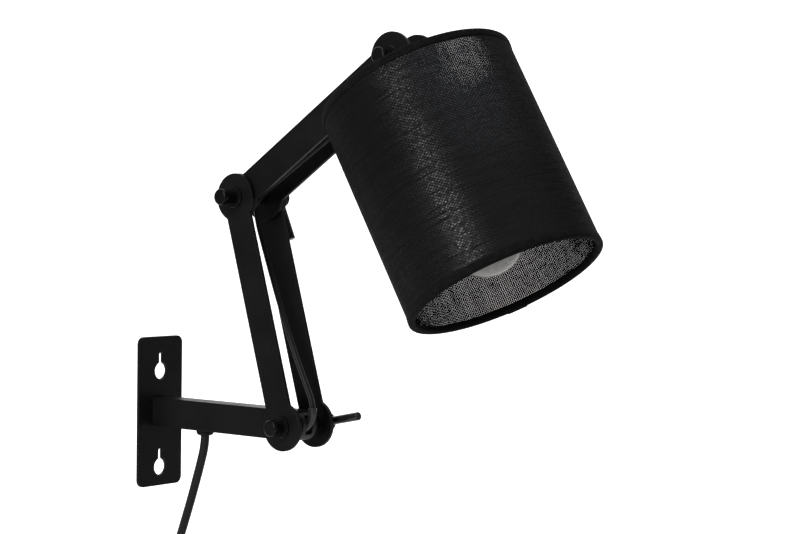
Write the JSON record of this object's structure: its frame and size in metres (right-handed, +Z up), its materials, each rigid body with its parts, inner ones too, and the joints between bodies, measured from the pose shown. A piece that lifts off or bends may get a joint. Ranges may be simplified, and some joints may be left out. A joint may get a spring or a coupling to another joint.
{
  "type": "swing-arm wall lamp",
  "caption": "Wall lamp with a keyhole plate, a fixed tube, two pairs of jointed flat links held by clamp levers, and a tilting drum shade over a round bulb.",
  "frame": {"origin": "middle of the wall plate's back face, on the lower arm's axis", "axes": "+X out of the wall into the room, +Y along the wall towards the clamp levers, +Z up"},
  "size_m": [0.3876, 0.1723, 0.5453],
  "materials": {
    "black_metal": "satin black powder coat",
    "shade_cloth": "open black linen weave",
    "binding_cloth": "close black cotton tape",
    "black_plastic": "matt black",
    "black_cord": "smooth black sheath",
    "plain_steel": "plain zinc",
    "brass": "plain",
    "nylon": "matt black nylon",
    "porcelain": "white porcelain",
    "opal_glass": "opal",
    "bulb_metal": "plain",
    "pin_metal": "nickel plated"
  },
  "bodies": {
    "base": {"wall_plate": "black_metal", "lower_arm_tube": "black_metal", "arm_end_cap": "black_plastic", "lower_spacers": "black_metal", "cord_grommet": "black_plastic", "supply_cord_end": "black_cord", "terminal_block": "black_plastic", "terminal_screws": "plain_steel", "cable_sleeve": "black_plastic", "link_cable_arm": "black_cord", "power_cord": "black_cord", "cord_coil": "black_cord", "coil_tie": "black_plastic", "plug_body": "black_plastic", "plug_pins": "pin_metal"},
    "middle_arm": {"middle_link_near": "black_metal", "middle_link_far": "black_metal", "lower_stud": "plain_steel", "lower_collar": "black_metal", "lower_cap_nut": "black_metal", "lower_washers": "nylon", "upper_stud": "plain_steel", "upper_collar": "black_metal", "upper_cap_nut": "black_metal", "upper_washers": "nylon", "link_cable_middle": "black_cord"},
    "upper_arm": {"upper_link_near": "black_metal", "upper_link_far": "black_metal", "upper_spacer": "black_metal", "head_stud": "plain_steel", "head_collar": "black_metal", "head_cap_nut": "black_metal", "head_washers": "nylon", "link_cable_upper": "black_cord"},
    "head": {"head_bracket": "black_metal", "head_spacer": "black_metal", "head_stem": "plain_steel", "stem_nuts": "plain_steel", "lampholder_cap": "black_plastic", "lampholder_shell": "black_plastic", "lampholder_core": "porcelain", "lampholder_contacts": "brass", "shade_ring_nut": "black_plastic", "shade_spider": "plain_steel", "shade_top_ring": "plain_steel", "shade_bottom_ring": "plain_steel", "shade_fabric": "shade_cloth", "shade_top_binding": "binding_cloth", "shade_bottom_binding": "binding_cloth", "bulb_globe": "opal_glass", "bulb_cap": "bulb_metal", "bulb_insulator": "black_plastic", "bulb_contact": "plain_steel", "link_cable_head": "black_cord"},
    "lower_lever": {"lower_lever_boss": "black_metal", "lower_lever_rod": "black_metal"},
    "upper_lever": {"upper_lever_boss": "black_metal", "upper_lever_rod": "black_metal"},
    "head_lever": {"head_lever_boss": "black_metal", "head_lever_rod": "black_metal"}
  },
  "joints": [
    {"name": "lower_pivot", "type": "hinge", "parent": "base", "child": "middle_arm", "pos_m": [0.1442, 0, 0], "axis": [0, 1, 0], "range_deg": [-28, 75], "deforming": ["link_cable_middle"]},
    {"name": "upper_pivot", "type": "hinge", "parent": "middle_arm", "child": "upper_arm", "pos_m": [0.09607, 0, 0.16461], "axis": [0, 1, 0], "range_deg": [-45, 30], "deforming": ["link_cable_upper"]},
    {"name": "head_tilt", "type": "hinge", "parent": "upper_arm", "child": "head", "pos_m": [0.23774, 0, 0.26125], "axis": [0, 1, 0], "range_deg": [-75, 1.5], "deforming": ["link_cable_head"]},
    {"name": "lower_lever_turn", "type": "hinge", "parent": "middle_arm", "child": "lower_lever", "pos_m": [0.1442, 0.026, 0], "axis": [0, 1, 0], "range_deg": [0, 120]},
    {"name": "upper_lever_turn", "type": "hinge", "parent": "middle_arm", "child": "upper_lever", "pos_m": [0.09607, 0.026, 0.16461], "axis": [0, 1, 0], "range_deg": [0, 120]},
    {"name": "head_lever_turn", "type": "hinge", "parent": "upper_arm", "child": "head_lever", "pos_m": [0.23774, 0.0225, 0.26125], "axis": [0, 1, 0], "range_deg": [0, 120]}
  ]
}
